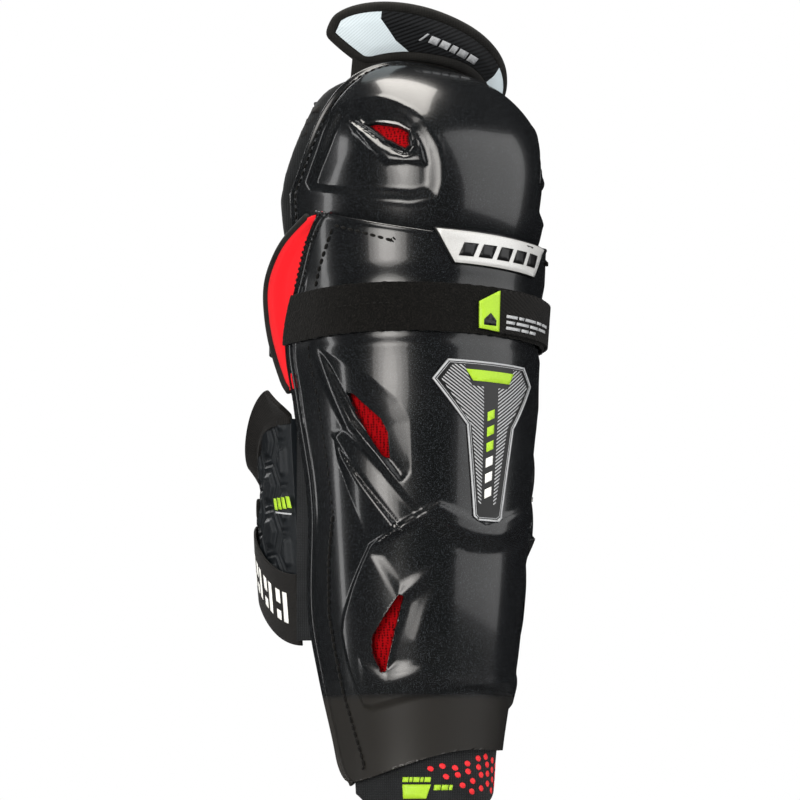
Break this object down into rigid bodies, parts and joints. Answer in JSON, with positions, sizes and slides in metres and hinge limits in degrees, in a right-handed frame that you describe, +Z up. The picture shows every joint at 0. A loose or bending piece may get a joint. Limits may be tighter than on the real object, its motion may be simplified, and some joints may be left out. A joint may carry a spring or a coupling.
{
  "type": "hockey shin guard",
  "caption": "Right-leg ice hockey shin guard with a hard shell, a hinged knee cap, a thigh guard, a calf wrap and wrap-round straps.",
  "frame": {"origin": "on the leg axis, level with the lowest edge of the shin shell", "axes": "+Z up along the leg, the front of the shin towards -Y, the outer side of the right leg towards -X"},
  "size_m": [0.1626, 0.1974, 0.4829],
  "materials": {
    "shell_plastic": "injection-moulded gloss black with a fine fleck",
    "impact_foam": "closed-cell foam",
    "liner_fabric": "brushed knit over foam",
    "inner_fabric": "light grey wicking knit",
    "vent_mesh": "red open mesh",
    "wing_fabric": "red coated fabric",
    "binding": "black knit binding tape",
    "plate": "silver printed plastic",
    "badge": "black moulded inlay with silver lines",
    "lime_print": "lime print",
    "loop_pile": "black loop pile",
    "webbing": "black woven elastic",
    "thigh_print": "light blue-grey coated fabric",
    "thigh_black": "black coated fabric with fine diagonal lines",
    "calf_moulding": "moulded dark slate foam with hexagons"
  },
  "bodies": {
    "shin": {"shin_shell": "shell_plastic", "shin_foam": "impact_foam", "shin_liner": "liner_fabric", "ankle_tongue": "liner_fabric", "name_plate": "plate", "shin_badge": "badge", "badge_bar": "lime_print", "vent_mesh_upper_lateral": "vent_mesh", "vent_mesh_upper_medial": "vent_mesh", "vent_mesh_lower_lateral": "vent_mesh", "vent_mesh_lower_medial": "vent_mesh", "side_wing_lateral": "wing_fabric", "side_wing_medial": "wing_fabric", "wing_binding_lateral": "binding", "wing_binding_medial": "binding", "upper_loop_band": "loop_pile", "lower_loop_patch": "loop_pile", "upper_strap_anchor": "webbing"},
    "knee": {"knee_shell": "shell_plastic", "knee_pad": "liner_fabric", "knee_liner": "inner_fabric", "knee_vent_mesh_lateral": "vent_mesh", "knee_vent_mesh_medial": "vent_mesh"},
    "thigh_guard": {"thigh_core": "liner_fabric", "thigh_face_lateral": "thigh_print", "thigh_face_centre": "thigh_black", "thigh_face_medial": "thigh_print", "thigh_lining": "liner_fabric", "thigh_binding": "binding"},
    "upper_strap": {"upper_strap": "webbing"},
    "upper_tab": {"upper_hook_tab": "webbing", "hook_tab_flag": "lime_print"},
    "calf_guard": {"calf_pad": "calf_moulding", "calf_lining": "inner_fabric", "calf_collar": "webbing", "lower_strap": "webbing", "strap_pull_loop": "webbing"},
    "lower_tab": {"lower_hook_tab": "webbing"}
  },
  "joints": [
    {"name": "knee_flex", "type": "hinge", "parent": "shin", "child": "knee", "pos_m": [0, 0.0095, 0.35], "axis": [-1, 0, 0], "range_deg": [-8, 35]},
    {"name": "thigh_tilt", "type": "hinge", "parent": "knee", "child": "thigh_guard", "pos_m": [0, -0.009, 0.436], "axis": [-1, 0, 0], "range_deg": [-25, 10]},
    {"name": "upper_strap_swing", "type": "hinge", "parent": "shin", "child": "upper_strap", "pos_m": [-0.065, 0.064, 0.2725], "axis": [0, 0, 1], "range_deg": [0, 32]},
    {"name": "upper_tab_peel", "type": "hinge", "parent": "upper_strap", "child": "upper_tab", "pos_m": [0.0826, 0.0035, 0.2725], "axis": [0, 0, 1], "range_deg": [0, 100]},
    {"name": "calf_swing", "type": "hinge", "parent": "shin", "child": "calf_guard", "pos_m": [-0.066, 0.033, 0.15], "axis": [0, 0, 1], "range_deg": [0, 60]},
    {"name": "lower_tab_peel", "type": "hinge", "parent": "calf_guard", "child": "lower_tab", "pos_m": [0.0663, 0.018, 0.105], "axis": [0, 0, 1], "range_deg": [0, 60]}
  ],
  "couplings": [
    {"joint": "upper_tab_peel", "follows": "upper_strap_swing", "ratio": 3}
  ]
}
